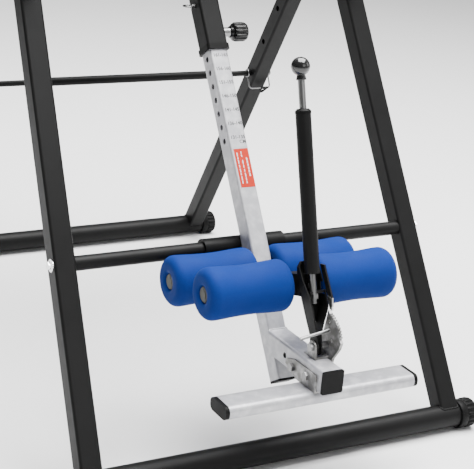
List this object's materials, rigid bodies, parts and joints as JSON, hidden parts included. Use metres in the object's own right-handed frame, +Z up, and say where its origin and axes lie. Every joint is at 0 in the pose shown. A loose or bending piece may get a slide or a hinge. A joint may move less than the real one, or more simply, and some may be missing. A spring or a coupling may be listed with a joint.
{
  "type": "inversion table",
  "caption": "Folding A-frame inversion table: padded bed tilting on a pivot, sliding boom with footrest, foam ankle rollers and a ratchet clamp lever.",
  "frame": {"origin": "on the floor, in the middle of the footprint", "axes": "+X to the right of a user facing the bed's foot end, +Y towards the rear feet, +Z up"},
  "size_m": [0.9046, 1.2878, 1.5352],
  "materials": {
    "black_paint": "satin",
    "zinc": "satin",
    "silver_paint": "satin",
    "chrome": "polished",
    "axle_steel": "brushed",
    "black_plastic": "matte",
    "sleeve_plastic": "matte",
    "blue_foam": "matte",
    "core_plastic": "matte",
    "black_foam": "matte",
    "vinyl": "satin",
    "board": "matte"
  },
  "bodies": {
    "front_frame": {"front_base_tube": "black_paint", "front_base_caps": "black_plastic", "front_leg_left": "black_paint", "front_leg_right": "black_paint", "front_leg_plugs": "black_plastic", "front_crossbar": "black_paint", "crossbar_sleeve": "black_plastic", "crossbar_bolts": "chrome", "pivot_brackets": "black_paint", "frame_hinge_bolts": "chrome", "handlebars": "black_paint", "handlebar_grips": "black_foam"},
    "rear_frame": {"rear_base_tube": "black_paint", "rear_base_caps": "black_plastic", "rear_leg_left": "black_paint", "rear_leg_right": "black_paint", "rear_leg_plugs": "black_plastic"},
    "tilt_limiter": {"limiter_rod": "black_paint", "limiter_sleeve": "sleeve_plastic"},
    "limiter_wire": {"limiter_clip": "chrome", "limiter_clip_tab": "black_plastic"},
    "bed": {"shaft_housing": "black_paint", "housing_end_bushes": "black_plastic", "bed_cross_tube_lower": "black_paint", "bed_cross_tube_upper": "black_paint", "pivot_arms": "black_paint", "backrest_board": "board", "backrest_pad": "vinyl", "head_pillow": "vinyl", "backrest_bolts": "chrome", "pull_pin_boss": "chrome"},
    "pull_pin": {"pull_pin": "chrome", "pull_pin_knob": "black_plastic"},
    "safety_pin": {"safety_pin": "chrome"},
    "boom": {"boom_tube": "silver_paint", "boom_plugs": "black_plastic", "foot_tube": "silver_paint", "footrest_saddle": "zinc", "footrest_bar": "silver_paint", "footrest_caps": "black_plastic", "foot_end_bolts": "chrome", "clamp_bracket": "zinc", "rear_axle": "axle_steel"},
    "ankle_lever": {"lever_channel": "black_paint", "lever_fasteners": "chrome", "roller_block": "black_paint", "lever_tube": "black_paint", "lever_collar": "black_plastic", "front_axle": "axle_steel"},
    "release": {"release_rod": "chrome", "release_knob": "black_plastic", "release_pawl": "black_paint"},
    "front_roller_left": {"front_roller_left": "blue_foam", "front_roller_core_left": "core_plastic"},
    "front_roller_right": {"front_roller_right": "blue_foam", "front_roller_core_right": "core_plastic"},
    "rear_roller_left": {"rear_roller_left": "blue_foam", "rear_roller_core_left": "core_plastic"},
    "rear_roller_right": {"rear_roller_right": "blue_foam", "rear_roller_core_right": "core_plastic"}
  },
  "joints": [
    {"name": "rear_frame_fold", "type": "hinge", "parent": "front_frame", "child": "rear_frame", "pos_m": [0, 0.0225, 0.9323], "axis": [-1, 0, 0], "range_deg": [0, 55]},
    {"name": "limiter_slide", "type": "slide", "parent": "rear_frame", "child": "tilt_limiter", "axis": [1, 0, 0], "range_m": [0, 0.06]},
    {"name": "limiter_wire_swing", "type": "hinge", "parent": "rear_frame", "child": "limiter_wire", "pos_m": [0, 0.31648, 0.4841], "axis": [-1, 0, 0], "range_deg": [0, 40]},
    {"name": "bed_tilt", "type": "hinge", "parent": "front_frame", "child": "bed", "pos_m": [0, 0.0225, 0.9843], "axis": [-1, 0, 0], "range_deg": [0, 110.9]},
    {"name": "boom_slide", "type": "slide", "parent": "bed", "child": "boom", "axis": [0, -0.549, -0.8358], "range_m": [0, 0.127]},
    {"name": "pull_pin_slide", "type": "slide", "parent": "bed", "child": "pull_pin", "axis": [1, 0, 0], "range_m": [0, 0.01], "stiffness_N_per_m": 400},
    {"name": "safety_pin_slide", "type": "slide", "parent": "bed", "child": "safety_pin", "axis": [-1, 0, 0], "range_m": [0, 0.03]},
    {"name": "ankle_lever_swing", "type": "hinge", "parent": "boom", "child": "ankle_lever", "pos_m": [0, -0.5861, 0.2506], "axis": [1, 0, 0], "range_deg": [0, 35]},
    {"name": "release_pull", "type": "slide", "parent": "ankle_lever", "child": "release", "axis": [0, 0.2756, 0.9613], "range_m": [0, 0.01], "stiffness_N_per_m": 500},
    {"name": "front_roller_left_spin", "type": "hinge", "parent": "ankle_lever", "child": "front_roller_left", "pos_m": [0, -0.51192, 0.33336], "axis": [1, 0, 0], "continuous": true},
    {"name": "front_roller_right_spin", "type": "hinge", "parent": "ankle_lever", "child": "front_roller_right", "pos_m": [0, -0.51192, 0.33336], "axis": [1, 0, 0], "continuous": true},
    {"name": "rear_roller_left_spin", "type": "hinge", "parent": "boom", "child": "rear_roller_left", "pos_m": [0, -0.39147, 0.31079], "axis": [1, 0, 0], "continuous": true},
    {"name": "rear_roller_right_spin", "type": "hinge", "parent": "boom", "child": "rear_roller_right", "pos_m": [0, -0.39147, 0.31079], "axis": [1, 0, 0], "continuous": true}
  ]
}
